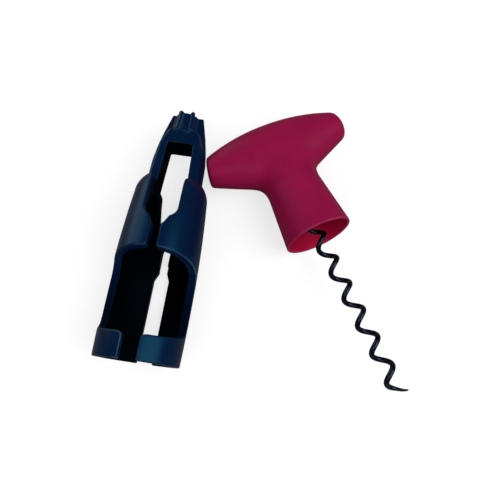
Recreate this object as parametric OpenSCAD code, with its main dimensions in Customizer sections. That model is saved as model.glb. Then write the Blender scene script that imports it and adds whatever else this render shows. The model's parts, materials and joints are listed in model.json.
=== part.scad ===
// Two-piece corkscrew for a table: a springy two-legged frame that stands on the
// bottle, and a T-handle whose hollow skirt carries a long worm. The frame lies on
// its back and the handle lies beside it, taken out of the frame.

/* [Neck ring and leg shells] */
// Outer radius of the frame at the mouth of the ring
ring_r = 18.5; // [18:0.05:19]
// Outer radius of the frame where it is widest
belly_r = 19.1; // [18.6:0.05:19.6]
// Height at which the frame is widest
belly_z = 33; // [25:0.5:40]
// Radius of the bore that takes the neck of the bottle
neck_r = 15; // [14:0.1:15.5]
// Height of the two bands that close round the neck
band_h = 10.7; // [8:0.1:14]
// Radius of the room inside the legs, above the bands
leg_room_r = 15.4; // [15.2:0.1:16]
// Gap between the two legs at the ring, front and back
gap_w = 7.1; // [5:0.1:9]
// Radius of the upper corners of the bands' free ends
band_corner = 2.6; // [1:0.1:3.5]
// How far the side strips reach in front of the middle plane
strip_reach = 0.8; // [0:0.1:3]
// How far the front opening's arch comes down at the side strips
arch_drop = 9.3; // [5:0.1:12]
// How far the tops of the bands rise at the side strips
foot_rise = 5; // [3:0.1:7]

/* [Grips] */
// Height of the lower edge of the grips, where the bottle stops
grip_z = 46.8; // [42:0.1:50]
// Height at which the grips start to round over
grip_top = 76.3; // [75:0.1:78]
// Outer radius of the grips where they start to round over
grip_r = 17.4; // [16.8:0.05:17.8]
// Height of the grips' upper end
grip_end = 86.6; // [85:0.1:87.5]
// Inner radius of the grips, which lets the cork through
stop_r = 13.2; // [12.5:0.1:14]
// Radius of the upper front corners of the grips
grip_corner = 4.6; // [1:0.1:6]
// Radius of the curve that rounds the grips over
shoulder_r = 12; // [12:0.1:16]
// Width of the slot between the grips
slot_w = 3.8; // [3.4:0.1:4.5]
// Height at which the slot opens into the window
slot_top = 58.5; // [55:0.1:62]
// Width of the window between the grips
window_w = 14.4; // [12:0.1:17]
// Radius of the window's lower corners
window_corner = 5.2; // [3:0.1:5.5]

/* [Rails] */
// Height of the window's ceiling, where the legs bend
ceiling_z = 104.4; // [100:0.1:107]
// Width of the window at its ceiling
ceiling_w = 12.34; // [11:0.1:13]
// Depth of the rails from front to back
rail_d = 12.2; // [10:0.1:13.5]
// Outer radius of the rails at the ceiling
rail_r = 11.6; // [11:0.05:12.2]
// Outer radius of the rails at the foot of the ribs
rail_foot_r = 13.4; // [12.8:0.05:13.8]
// Thickness of the rib down each side
side_rib_w = 1.6; // [1.2:0.1:3]
// How far the side rib stands out of the rail
side_rib_h = 0.6; // [0.3:0.05:1]
// Clearance between a leg and its seat in the shoulder block
seat_gap = 0.1; // [0.05:0.01:0.3]

/* [Crown] */
// Height of the shoulder block's top
block_top = 112.4; // [110:0.1:114]
// Radius of the shoulder block at its top
block_r = 8.9; // [8.2:0.1:9.6]
// Height of the crown's rim
crown_top = 122; // [119:0.1:126]
// Radius of the crown at its foot
crown_foot_r = 7.1; // [6.6:0.05:7.6]
// Radius of the crown at its rim
crown_r = 6.3; // [5.8:0.05:6.6]
// Radius of the bore that guides the worm
worm_bore_r = 4.3; // [4.25:0.05:4.8]
// How far the ribs stand above the crown's rim
rib_rise = 1.4; // [1:0.1:3]
// Thickness of the crown's ribs
rib_w = 1.5; // [1.2:0.1:2.6]
// How far the crown's ribs stand out of its wall
rib_h = 0.55; // [0.3:0.05:1]
// Radius that the side ribs reach at their tops
fin_r = 7.9; // [7.3:0.05:8.4]

/* [Handle] */
// Outer radius of the skirt at its mouth
mouth_r = 16.3; // [15.6:0.05:17]
// Radius of the stem where it meets the cross bar
stem_r = 13.6; // [12:0.1:14]
// Wall of the skirt
skirt_wall = 1.4; // [1.2:0.1:2]
// Height at which the stem meets the cross bar
stem_h = 28; // [27:0.5:33]
// Half the length of the cross bar
bar_half = 37.2; // [32:0.1:40]
// Height of the cross bar's top at the middle
bar_top = 66.2; // [64:0.1:70]
// How far the cross bar's top has dropped at its ends
bar_drop = 7.6; // [4:0.1:9]
// Height of the cross bar's lower edge at its ends
bar_low = 45.5; // [43:0.1:48]
// Rise of the lower edge per millimetre of length
bar_rise = 0.485; // [0.3:0.01:0.55]
// Half the thickness of the cross bar at the middle
bar_half_t = 13.1; // [12:0.1:14]
// Half the thickness of the cross bar at its ends
bar_end_t = 7.2; // [6.5:0.1:9]
// Radius of the skirt's cavity round the crown
cavity_r = 9.4; // [8.8:0.1:10]
// Clearance round the hub of the worm
hub_gap = 0.3; // [0.2:0.05:0.5]
// Radius of the hub that holds the worm
hub_r = 6; // [5:0.1:7]
// Length of the hub
hub_h = 11.6; // [9:0.1:12.5]

/* [Worm] */
// Diameter of the worm's wire
wire_d = 2.2; // [1.8:0.05:2.5]
// Radius of the worm's centre line
coil_r = 2.94; // [2.6:0.02:3]
// Distance between the worm's turns
pitch = 13; // [11:0.1:15]
// How far the tip stands below the mouth of the skirt
tip_reach = 76.6; // [66:0.5:80]
// Direction of the wire at the mouth of the skirt, in degrees
coil_phase = 345; // [0:1:360]
// Length of wire that tapers to the tip, along the axis
tip_taper = 6.5; // [4:0.1:9]

/* [Places] */
// Gap between the end of the cross bar and the rail that it lies beside
lay_gap = 0.75; // [0.5:0.05:8]
// Handle's place along the frame, from the ring to the skirt's mouth
handle_y = 68.4; // [60:0.1:75]
// Angle of the handle's axis to the frame's
handle_turn = 30.5; // [26:0.1:34]
// Tilt of the frame as it lies on its back, crown down
frame_tilt = 1.2; // [0.6:0.1:1.6]
// Turn of the frame about its own axis as it lies
frame_roll = 1.6; // [0:0.1:3]

/* [Hidden] */

$fn = 96;
// Overlap of a cutting shape past the face it cuts
over = 1;

// Height where the grips' front corners end, and the plane where the rails start
corner_top = grip_end - 1.6;
rail_foot = corner_top - grip_corner;
// Heights of the breaks in the frame's curved outline
outline_z = [for (i = [0:12]) grip_top * i / 12];
// Heights where the back slot starts to narrow and where it has narrowed
slot_foot = grip_z + 0.4 - 1.2 * (gap_w - slot_w);
slot_neck = grip_z + 0.4;
// Middle and radius of the rounded upper end of a rail
knuckle_x = (ceiling_w / 2 + rail_r) / 2;
knuckle_r = (rail_r - ceiling_w / 2) / 2;
// Radius of the side ribs where they pass the top of the shoulder block
fin_block_r = (rail_r + side_rib_h + fin_r) / 2 + 0.6;

// Radius at which the skirt rests on the grips, and the handle's tilt as it lies
skirt_in = mouth_r - skirt_wall;
bar_mid_z = (bar_top + bar_low) / 2;
handle_tilt = atan((mouth_r - bar_half_t) / bar_mid_z);
handle_h = mouth_r * cos(handle_tilt);
// Height of the mouth above the ring when the skirt sits on the grips
seat_z = grip_top + sqrt(pow(shoulder_r, 2) - pow(skirt_in - (grip_r - shoulder_r), 2));
// Depth of the cavity, which clears the crown when the skirt is seated
crown_depth = crown_top + rib_rise - seat_z;
cavity_h = crown_depth + 2.1;
// Height at which the skirt's cavity stops following the stem
cavity_waist = 26;

// Worm: where the coil ends and the straight shank starts
coil_top = 26;
shank_z = 35;
hub_z = cavity_h + hub_gap;
shank_top = hub_z + hub_h + wire_d;

// Handle's place across the frame, where the rounded corner of the cross bar falls
// short of its outline by corner_round
corner_round = 3.4;
handle_x = rail_r + lay_gap + bar_half * cos(handle_turn)
    + (bar_top - bar_drop - corner_round) * sin(handle_turn);

// Offset that puts the origin under the middle of the whole part
tip_x = handle_x + tip_reach * sin(handle_turn) + coil_r;
far_y = handle_y + (bar_top - bar_drop) * cos(handle_turn)
    + (bar_half - 1) * sin(handle_turn) - 0.7;
centre_x = (tip_x - belly_r) / 2;
centre_y = (far_y - ring_r * sin(frame_tilt)) / 2;

// Outer radius of the frame, a little wider in the middle than at its ends
function outer_r(z) = z < belly_z
    ? belly_r - (belly_r - ring_r) * pow((belly_z - z) / belly_z, 2)
    : belly_r - (belly_r - grip_r) * pow((z - belly_z) / (grip_top - belly_z), 2);
// Half the width of the back slot, and how far the back stands below the axis there
function slot_half(z) = (z < slot_foot ? gap_w
    : z > slot_neck ? slot_w
    : gap_w + (slot_w - gap_w) * (z - slot_foot) / (slot_neck - slot_foot)) / 2;
function back_r(z) = outer_r(z) * cos(asin(slot_half(z) / outer_r(z)) - frame_roll);
// Height of the ring's middle when the back rests on the table
frame_h = max([for (z = [0:0.5:slot_top])
    z * sin(frame_tilt) + back_r(z) * cos(frame_tilt)]);
function smooth(t) = let(u = min(max(t, 0), 1)) u * u * (3 - 2 * u);
function unit(v) = v / norm(v);
// Points on an arc about c, from angle a0 to a1
function arc(c, r, a0, a1, n = 10) =
    [for (i = [0:n]) let(a = a0 + (a1 - a0) * i / n) [c[0] + r * cos(a), c[1] + r * sin(a)]];

// Frame lying on its back: its axis along +Y, its front facing up
module lie_frame() {
    translate([-centre_x, -centre_y, frame_h])
        rotate([-90 - frame_tilt, 0, 0]) rotate([0, 0, frame_roll]) children();
}

// Handle lying beside it, on the rim of its skirt and its cross bar
module lie_handle() {
    translate([handle_x - centre_x, handle_y - centre_y, handle_h])
        rotate([0, 0, handle_turn]) rotate([-90 - handle_tilt, 0, 0]) children();
}

// Outline in the front plane, carried from y0 back to y1
module front_prism(y0, y1) {
    translate([0, y1, 0]) rotate([90, 0, 0]) linear_extrude(y1 - y0) children();
}

// Outline in the side plane, given as (y, z), carried from x0 to x1
module side_prism(x0, x1) {
    translate([x0, 0, 0]) rotate([90, 0, 90]) linear_extrude(x1 - x0) children();
}

// Slice of the frame's outer form
module outer_form(z0, z1) {
    rotate_extrude() polygon(concat(
        [[0, z0], [outer_r(z0), z0]],
        [for (z = outline_z) if (z > z0 && z < z1) [outer_r(z), z]],
        [[outer_r(z1), z1], [0, z1]]
    ));
}

// Space between the legs: wide at the ring, a slot between the grips, then the window
module leg_space() {
    half = window_w / 2;
    flare = slot_w / 2 + 1.3;
    side = concat(
        [[gap_w / 2, -over], [gap_w / 2, slot_foot], [slot_w / 2, slot_neck]],
        arc([flare, slot_top - 1.3], 1.3, 180, 110, 5),
        arc([half - window_corner, slot_top + window_corner + 1.4], window_corner, -65, 0, 8),
        [[half, rail_foot], [ceiling_w / 2, ceiling_z + 30]]
    );
    polygon(concat(side, [for (i = [len(side) - 1:-1:0]) [-side[i][0], side[i][1]]]));
}

// Right half of the room round the frame's axis
module right_half() {
    translate([0, -40, -over]) cube([40, 80, 160]);
}

// Edges of the front opening in the side view: an arch under the grips, and a curve
// that rises from the bands to the side strips
foot_end = ring_r - 1.5;
arch_end = outer_r(grip_z) - 0.3;
function arch_z(y) = grip_z - arch_drop * (1 - pow(min(-y / arch_end, 1), 0.45));
function foot_z(y) = band_h + foot_rise * (1 - pow(min(-y / foot_end, 1), 0.25));

// Side view of what the front opening and the band leave standing
module strip_outline() {
    e = strip_reach;
    low = [for (i = [0:8]) e + (foot_end - e) * pow(i / 8, 2)];
    high = [for (i = [0:8]) e + (arch_end - e) * pow(i / 8, 2)];
    polygon(concat(
        [[40, 0], [40, grip_z], [-arch_end, grip_z]],
        [for (i = [7:-1:0]) [-high[i], arch_z(-high[i])]],
        [for (i = [0:8]) [-low[i], foot_z(-low[i])]],
        [[-e, band_h], [-e, 0]]
    ));
}

// Back and sides of one leg, round the neck of the bottle
module shell() {
    difference() {
        intersection() {
            outer_form(0, grip_z);
            side_prism(0, 40) strip_outline();
        }
        translate([0, 0, -over]) cylinder(h = grip_z + 2 * over, r = neck_r);
        translate([0, 0, band_h]) cylinder(h = grip_z, r = leg_room_r);
        front_prism(-40, 40) leg_space();
    }
}

// Front band of one leg, from the side strip to its free end
module band() {
    c = band_corner;
    f = band_corner / 2;
    x = gap_w / 2;
    difference() {
        intersection() {
            outer_form(0, band_h);
            front_prism(-40, -strip_reach) polygon(concat(
                [[40, 0], [40, band_h]],
                arc([x + c, band_h - c], c, 90, 180),
                arc([x + f, f], f, 180, 270, 6)
            ));
        }
        translate([0, 0, -over]) cylinder(h = band_h + 2 * over, r = neck_r);
    }
}

// Solid of revolution that rounds the grips over to the rails
module shoulder() {
    rotate_extrude() polygon(concat(
        [[0, grip_top]],
        arc([grip_r - shoulder_r, grip_top], shoulder_r, 0, asin((grip_end - grip_top) / shoulder_r)),
        [[0, grip_end]]
    ));
}

// Grip: a half shell that stands out past the rails and stops the bottle
module grip() {
    closing = stop_r - window_w / 2;
    half = window_w / 2;
    c = grip_corner;
    difference() {
        intersection() {
            union() {
                outer_form(grip_z, grip_top);
                shoulder();
            }
            right_half();
        }
        rotate_extrude() polygon([
            [0, grip_z - over], [stop_r, grip_z - over], [stop_r, rail_foot - closing - 2.4],
            [half, rail_foot - 2.4], [0, rail_foot - 2.4]
        ]);
        front_prism(-40, 40) leg_space();
        translate([0, -rail_d / 2, rail_foot]) cube([40, rail_d, 20]);
        for (y = [-40, rail_d / 2 - over])
            front_prism(y, y + 40 + over - rail_d / 2) polygon(concat(
                [[half - over, rail_foot], [half, rail_foot]],
                arc([half + c, rail_foot], c, 180, 90),
                [[40, corner_top], [40, corner_top + 20], [half - over, corner_top + 20]]
            ));
    }
}

// Side rib, given as (radius, height), from the shoulder up to the crown's top
module fin_outline() {
    polygon([
        [rail_foot_r + side_rib_h - 0.4, rail_foot], [rail_foot_r + side_rib_h - 0.5, rail_foot + 6],
        [rail_r + side_rib_h + 1, (rail_foot + 6 + ceiling_z) / 2 + 1.6],
        [rail_r + side_rib_h, ceiling_z], [fin_block_r, block_top],
        [fin_r, crown_top + rib_rise], [crown_r - 1.2, crown_top + rib_rise],
        [crown_r - 1.2, block_top], [rail_r - 2.2, ceiling_z], [rail_r - 1.6, rail_foot]
    ]);
}

// Rail: the flat bar that joins a grip to the shoulder block, rounded where it bends
module rail() {
    top = ceiling_z + knuckle_r;
    slope = (rail_foot_r - rail_r) / (ceiling_z - rail_foot);
    block_slope = (rail_r - block_r) / (block_top - ceiling_z);
    intersection() {
        union() {
            translate([0, 0, rail_foot])
                cylinder(h = ceiling_z - rail_foot, r1 = rail_foot_r, r2 = rail_r);
            translate([0, 0, ceiling_z])
                cylinder(h = knuckle_r, r1 = rail_r, r2 = rail_r - block_slope * knuckle_r);
            intersection() {
                shoulder();
                translate([0, -40, rail_foot]) cube([40, 80, 20]);
            }
            intersection() {
                front_prism(-side_rib_w / 2, side_rib_w / 2) fin_outline();
                translate([0, -40, rail_foot]) cube([40, 80, ceiling_z - seat_gap * 2 - rail_foot]);
            }
        }
        translate([0, -rail_d / 2, rail_foot]) cube([40, rail_d, 40]);
        union() {
            front_prism(-40, 40) polygon([
                [window_w / 2, rail_foot], [40, rail_foot], [40, ceiling_z],
                [ceiling_w / 2, ceiling_z]
            ]);
            translate([knuckle_x, 40, ceiling_z]) rotate([90, 0, 0]) cylinder(h = 80, r = knuckle_r);
        }
    }
}

// Block that joins the rails under the crown, with a seat for each rail
module shoulder_block() {
    color("midnightblue") lie_frame() difference() {
        union() {
            intersection() {
                translate([0, 0, ceiling_z])
                    cylinder(h = block_top - ceiling_z, r1 = rail_r, r2 = block_r);
                translate([-40, -rail_d / 2, ceiling_z]) cube([80, rail_d, 40]);
            }
            translate([0, 0, block_top - 5])
                cylinder(h = 5, r1 = rail_d / 2 - 0.05, r2 = crown_foot_r);
            intersection() {
                for (s = [0, 1]) mirror([s, 0, 0])
                    front_prism(-side_rib_w / 2, side_rib_w / 2) fin_outline();
                translate([-40, -40, ceiling_z]) cube([80, 80, block_top - ceiling_z]);
            }
        }
        translate([0, 0, ceiling_z - over])
            cylinder(h = block_top - ceiling_z + 2 * over, r = worm_bore_r);
        for (s = [-1, 1])
            translate([s * knuckle_x, 40, ceiling_z]) rotate([90, 0, 0])
                cylinder(h = 80, r = knuckle_r + seat_gap);
    }
}

// Ribbed crown, with the bore that guides the worm
module crown() {
    rib_foot = crown_foot_r + rib_h;
    rib_tip = crown_r + rib_h;
    rib_top = crown_top + rib_rise;
    color("midnightblue") lie_frame() difference() {
        union() {
            translate([0, 0, block_top])
                cylinder(h = crown_top - block_top, r1 = crown_foot_r, r2 = crown_r);
            for (a = [30, 150, 210, 330])
                rotate([0, 0, a - 90]) front_prism(-rib_w / 2, rib_w / 2) polygon([
                    [worm_bore_r - 1, block_top], [rib_foot - 0.3, block_top],
                    [rib_foot - 0.1, block_top + 1.5], [rib_tip, rib_top - 0.6],
                    [rib_tip - 0.6, rib_top], [crown_r - 1.2, rib_top],
                    [crown_r - 1.2, crown_top - over], [worm_bore_r - 1, crown_top - over]
                ]);
            for (s = [0, 1]) mirror([s, 0, 0]) intersection() {
                front_prism(-side_rib_w / 2, side_rib_w / 2) fin_outline();
                translate([0, -40, block_top]) cube([40, 80, 40]);
            }
        }
        translate([0, 0, block_top - over])
            cylinder(h = crown_top - block_top + rib_rise + 2 * over, r = worm_bore_r);
    }
}

module right_rail() {
    color("midnightblue") lie_frame() rail();
}

module left_rail() {
    color("midnightblue") lie_frame() mirror([1, 0, 0]) rail();
}

module right_grip() {
    color("darkslategray") lie_frame() grip();
}

module left_grip() {
    color("darkslategray") lie_frame() mirror([1, 0, 0]) grip();
}

module right_shell() {
    color("midnightblue") lie_frame() shell();
}

module left_shell() {
    color("midnightblue") lie_frame() mirror([1, 0, 0]) shell();
}

module right_band() {
    color("darkslategray") lie_frame() band();
}

module left_band() {
    color("darkslategray") lie_frame() mirror([1, 0, 0]) band();
}

// Round hub that holds the worm's shank inside the cross bar
module worm_hub() {
    color("dimgray") lie_handle() difference() {
        translate([0, 0, hub_z]) cylinder(h = hub_h, r = hub_r);
        translate([0, 0, hub_z - over]) cylinder(h = hub_h + 2 * over, r = wire_d / 2 + hub_gap);
    }
}

// Shape of the handle. Each field is positive inside its form: a flared stem and a
// cross bar whose section is an oval between its top and lower edges, cut off at its ends
function stem_radius(z) = mouth_r - (mouth_r - stem_r) * min(z / stem_h, 1);
function bar_top_z(x) = bar_top - bar_drop * pow(x / bar_half, 2);
function bar_low_z(x) = bar_low - bar_rise * (bar_half - sqrt(x * x + 36));
function bar_t(x) = bar_half_t - (bar_half_t - bar_end_t) * pow(x / bar_half, 2);
function stem_field(x, y, z) =
    1 - (x * x + y * y) / pow(stem_radius(z), 2) - pow(max(z - stem_h - 6, 0) / 16, 2);
function bar_field(x, y, z) =
    let(top = bar_top_z(x), low = bar_low_z(x), mid = (top + low) / 2, half = (top - low) / 2,
        end = bar_half - 0.19 * (z - bar_low))
    1 - pow(abs(x) / end, 50) - pow((z - mid) / half, 2) - pow(y / bar_t(x), 2);
// The two forms run into each other with a soft crease
blend = 3.3;
function body_field(x, y, z) =
    let(s = stem_field(x, y, z), b = bar_field(x, y, z), m = max(s, b))
    m + ln(exp(blend * (s - m)) + exp(blend * (b - m))) / blend;
// Distance from the axis to the surface, in direction (c, s) at height z
function reach(z, c, s, near = 0, far = 46, n = 17) =
    n == 0 ? (near + far) / 2
    : let(m = (near + far) / 2)
      body_field(m * c, m * s, z) > 0 ? reach(z, c, s, m, far, n - 1) : reach(z, c, s, near, m, n - 1);

handle_sides = 40;
handle_rings = concat(
    [1, 6, 12, 18, 23], [26:1.5:47], [50:3:59], [61.5, 63.5, 65, 66.1]
);
// One ring of the outer skin, with its points spread evenly round a long section
function skin_ring(z) =
    let(a = reach(z, 1, 0), b = reach(z, 0, 1))
    [for (i = [0:handle_sides - 1])
        let(t = 360 * i / handle_sides, v = unit([a * cos(t), b * sin(t)]), d = reach(z, v[0], v[1]))
        [d * v[0], d * v[1], z]];
function round_ring(r, z) =
    [for (i = [0:handle_sides - 1]) let(t = 360 * i / handle_sides) [r * cos(t), r * sin(t), z]];

// Handle: one moulding, T-shaped outside, with a skirt that is hollow to take the crown
module handle() {
    n = handle_sides;
    socket_r = hub_r + hub_gap;
    socket_top = shank_top + wire_d / 2 + hub_gap;
    cavity = [
        [skirt_in, 0], [stem_radius(cavity_waist) - skirt_wall, cavity_waist],
        [cavity_r, cavity_waist + 2], [cavity_r, cavity_h], [socket_r, cavity_h],
        [socket_r, socket_top]
    ];
    rings = concat(
        [for (i = [len(cavity) - 1:-1:0]) round_ring(cavity[i][0], cavity[i][1])],
        [round_ring(mouth_r - 0.5, 0), round_ring(mouth_r - 0.1, 0.4)],
        [for (z = handle_rings) each (is_num(z) ? [skin_ring(z)] : [for (k = z) skin_ring(k)])]
    );
    count = len(rings);
    points = concat(
        [for (r = rings) each r],
        [[0, 0, socket_top], [0, 0, bar_top - 0.25]]
    );
    faces = concat(
        [for (j = [0:count - 2], i = [0:n - 1]) let(k = (i + 1) % n)
            each [[j * n + i, (j + 1) * n + i, (j + 1) * n + k], [j * n + i, (j + 1) * n + k, j * n + k]]],
        [for (i = [0:n - 1]) [i, (i + 1) % n, count * n]],
        [for (i = [0:n - 1]) [(count - 1) * n + (i + 1) % n, (count - 1) * n + i, count * n + 1]]
    );
    color("crimson") lie_handle() polyhedron(points, faces, convexity = 6);
}

// Middle line of the wire, from the tip up through the coil to the bent end of the shank
turn_steps = 14;
coil_steps = ceil((tip_reach + coil_top) / pitch * turn_steps);
function coil_point(z) =
    let(a = coil_phase + 360 * min(z, shank_z) / pitch,
        r = coil_r * (1 - smooth((z - coil_top) / (shank_z - coil_top))))
    [r * cos(a), r * sin(a), z];
bend_r = wire_d;
wire_line = concat(
    [for (i = [0:coil_steps]) coil_point(-tip_reach + (tip_reach + coil_top) * i / coil_steps)],
    [for (i = [1:8]) coil_point(coil_top + (shank_z - coil_top) * i / 8)],
    [[0, 0, hub_z], [0, 0, shank_top - bend_r]],
    [for (a = [22.5:22.5:90]) [bend_r * (1 - cos(a)), 0, shank_top - bend_r + bend_r * sin(a)]],
    [[bend_r + 1.2, 0, shank_top]]
);
function wire_radius(z) = wire_d / 2 * max(min((z + tip_reach) / tip_taper, 1), 0.1);

// Worm: a wire without a core, wound to the right, sharpened at its tip
module worm() {
    n = 8;
    last = len(wire_line) - 1;
    along = [for (i = [0:last])
        unit(wire_line[min(i + 1, last)] - wire_line[max(i - 1, 0)])];
    across = [for (i = 0, v = unit(cross(along[0], [0, 0, 1])); i <= last;
        i = i + 1, v = i <= last ? unit(v - (v * along[i]) * along[i]) : v) v];
    points = [for (i = [0:last], k = [0:n - 1])
        let(u = across[i], w = cross(along[i], u), r = wire_radius(wire_line[i][2]), a = 360 * k / n)
        wire_line[i] + r * (cos(a) * u + sin(a) * w)];
    faces = concat(
        [for (j = [0:last - 1], i = [0:n - 1]) let(k = (i + 1) % n)
            each [[j * n + i, (j + 1) * n + k, (j + 1) * n + i], [j * n + i, j * n + k, (j + 1) * n + k]]],
        [[for (i = [0:n - 1]) n - 1 - i]],
        [[for (i = [0:n - 1]) last * n + i]]
    );
    color("black") lie_handle() polyhedron(points, faces, convexity = 8);
}

crown();
shoulder_block();
left_rail();
left_grip();
left_shell();
left_band();
right_rail();
right_grip();
right_shell();
right_band();
worm_hub();
handle();
worm();
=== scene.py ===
"""Looks of a two-piece table corkscrew: a springy two-legged frame lying on its back,
and beside it the T-handle with the worm.

Lengths inside the shape functions are millimetres in the piece's own axes: z runs from
the mouth of the ring or skirt towards the crown or cross bar, and the front is -y.
"""

import json
import math

import bmesh
import bpy
import numpy as np
from mathutils import Matrix, Vector


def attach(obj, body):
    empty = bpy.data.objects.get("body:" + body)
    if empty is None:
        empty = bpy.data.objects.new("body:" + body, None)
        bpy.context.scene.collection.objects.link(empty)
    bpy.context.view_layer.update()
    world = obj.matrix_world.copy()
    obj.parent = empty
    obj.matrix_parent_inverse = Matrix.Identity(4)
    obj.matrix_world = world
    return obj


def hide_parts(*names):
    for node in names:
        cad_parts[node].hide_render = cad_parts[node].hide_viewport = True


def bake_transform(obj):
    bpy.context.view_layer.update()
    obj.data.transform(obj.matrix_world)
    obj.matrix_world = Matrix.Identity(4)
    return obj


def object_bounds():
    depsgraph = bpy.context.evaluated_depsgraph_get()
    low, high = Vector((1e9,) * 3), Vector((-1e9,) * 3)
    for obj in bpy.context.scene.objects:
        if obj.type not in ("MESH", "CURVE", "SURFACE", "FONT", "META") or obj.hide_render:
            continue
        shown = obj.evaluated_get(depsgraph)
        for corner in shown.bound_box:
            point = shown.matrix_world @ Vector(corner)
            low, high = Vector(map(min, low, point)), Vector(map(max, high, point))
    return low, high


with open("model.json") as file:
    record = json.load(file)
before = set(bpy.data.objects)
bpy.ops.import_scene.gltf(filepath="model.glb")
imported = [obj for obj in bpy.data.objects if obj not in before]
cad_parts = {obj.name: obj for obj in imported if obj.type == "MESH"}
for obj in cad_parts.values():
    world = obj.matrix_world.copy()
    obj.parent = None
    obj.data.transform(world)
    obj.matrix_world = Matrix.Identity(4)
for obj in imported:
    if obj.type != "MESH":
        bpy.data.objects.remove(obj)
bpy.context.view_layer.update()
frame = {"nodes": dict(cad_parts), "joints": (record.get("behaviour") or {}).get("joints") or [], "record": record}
record = frame["record"]
MM = 0.001


# Sizes in millimetres, as in the CAD, but for BACK_REACH, BACK_DROP, WINDOW_LIFT, the
# bar's length and the worm's wire and tip, which follow the photograph more closely.
# First the frame, from its ring up to its crown.
RING_R = 18.5            # outer radius at the mouth of the neck ring
BELLY_R = 19.1           # outer radius where the frame is widest
BELLY_Z = 33.0           # height of that place
NECK_R = 15.0            # bore of the two bands
ROOM_R = 15.4            # room inside the legs above the bands
BAND_H = 10.7            # height of the bands
GAP_W = 7.1              # gap between the legs at the ring
STRIP_REACH = 0.8        # how far the side walls reach in front of the frame's middle
ARCH_DROP = 9.3          # how much lower the opening's arch is at its sides
ARCH_POWER = 0.45        # how fast the arch falls off towards them
FOOT_RISE = 5.0          # how much higher the opening's foot is at its sides
FOOT_POWER = 0.25        # how fast the foot rises towards them
FOOT_END = RING_R - 1.5  # how far in front of the middle the foot is down at the bands
GRIP_Z = 46.8            # lower edge of the grips
GRIP_TOP = 76.3          # where the dome over the grips begins
GRIP_R = 17.4            # outer radius there
GRIP_END = 86.6          # upper end of the grips' front corners
GRIP_CORNER = 4.6        # rounding of those corners
CORNER_Z = GRIP_END - 1.6
SHOULDER_R = 12.0        # radius of the dome
STOP_R = 13.2            # room between the grips
SLOT_W = 3.8             # slot between the grips
SLOT_TOP = 58.5          # its upper end
SLOT_LIP_R = 1.3         # arc on which it opens into the window
BACK_REACH = 1.3         # how much closer the legs come at the back of the window's foot
BACK_DROP = 3.5          # how much lower the slot's wide foot ends at the back
WINDOW_W = 14.4
WINDOW_CORNER = 5.2      # radius of the window's lower corners
WINDOW_LIFT = 3.0        # height of their centres above the slot's end and that radius
CEILING_Z = 104.4        # the window's ceiling
CEILING_W = 12.34        # its width
RAIL_D = 12.2            # depth of a rail from front to back
RAIL_R = 11.6            # outer radius of the rails at the ceiling
RAIL_FOOT_R = 13.4       # and at their feet
RAIL_FOOT = CORNER_Z - GRIP_CORNER
SIDE_RIB_W = 1.6         # rib that runs up the side of each rail
SIDE_RIB_H = 0.6
BLOCK_TOP = 112.4        # shoulder block between the rails and the crown
BLOCK_R = 8.9
CROWN_TOP = 122.0
CROWN_FOOT_R = 7.1
CROWN_R = 6.3
BORE_R = 4.3             # bore for the worm
RIB_RISE = 1.4           # how far the crown's ribs stand up past it
RIB_W = 1.5
RIB_H = 0.55
FIN_R = 7.9              # reach of the side ribs at the crown's top
EDGE_R = 0.55            # rounding of the edges of the legs' walls
CUT_Z = 102.6            # where the legs leave the crown's moulding

# The handle, from the mouth of its skirt up to the cross bar
MOUTH_R = 16.3
STEM_R = 13.6
SKIRT_WALL = 1.4
STEM_H = 28.0            # where the stem's taper ends
DOME_Z = STEM_H + 6      # above this the stem closes over, within DOME_H
DOME_H = 16
BAR_HALF = 37.8          # half the length of the cross bar
BAR_TOP = 66.2
BAR_DROP = 7.6           # how much lower the bar's upper side is at its ends
BAR_LOW = 45.5
BAR_RISE = 0.485         # slope of its lower side
BAR_SADDLE = 6           # half width over which the two slopes meet
BAR_HALF_T = 13.1        # half its thickness in the middle
BAR_END_T = 7.2          # and at its ends
BAR_LEAN = 0.19          # slope of its end faces
BAR_SQUARE = 90          # power that keeps the end faces flat and their edges small
BAR_BLEND = 3.3          # how sharply the stem runs into the bar
CAVITY_WAIST = 26.0      # height of the skirt's wide cavity
CAVITY_R = 9.4           # radius of the narrow one above it
CAVITY_DEEP = CAVITY_WAIST + 10
LIP_R = 0.6              # rounding of the skirt's lip
TURN_Z = 45.0            # height of the point by which the handle's hinge is given

# The worm, whose heights are negative below the skirt's mouth
WIRE_D = 2.4
COIL_R = 2.94            # radius of the coil's middle line
PITCH = 13.0
COIL_PHASE = math.radians(345)
TIP_REACH = 77.8         # depth of the tip
TIP_TAPER = 5.0          # height of the sharpened end
TIP_STRAIGHT = 2.6       # height of what leaves the turn along its tangent
TIP_LIFT = 1.0           # how much the tip comes up from that tangent
TIP_BLUNT = 0.28         # share of the wire's radius that is left at the tip
TIP_ROUND = 0.5          # height over which that is rounded off
COIL_TOP = 26.0          # from here the coil runs in to its axis
SHANK_Z = 35.0           # and here it has
SHANK_TOP = 54.0

# Lattice steps of the three mouldings' meshes
LEG_STEP = 0.38
CROWN_STEP = 0.27
HANDLE_STEP = 0.5

PROBE = 0.02             # half step by which a field's slope is measured
EDGE_PROBE = 0.35        # how far round a point its slope is compared, to find edges
EDGE_FROM = 0.35         # turn of the slope at which an edge begins
EDGE_OVER = 0.7          # and how much more makes it a full one
INNER_FROM = 0.3         # mark above which a face takes the inner material


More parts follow.
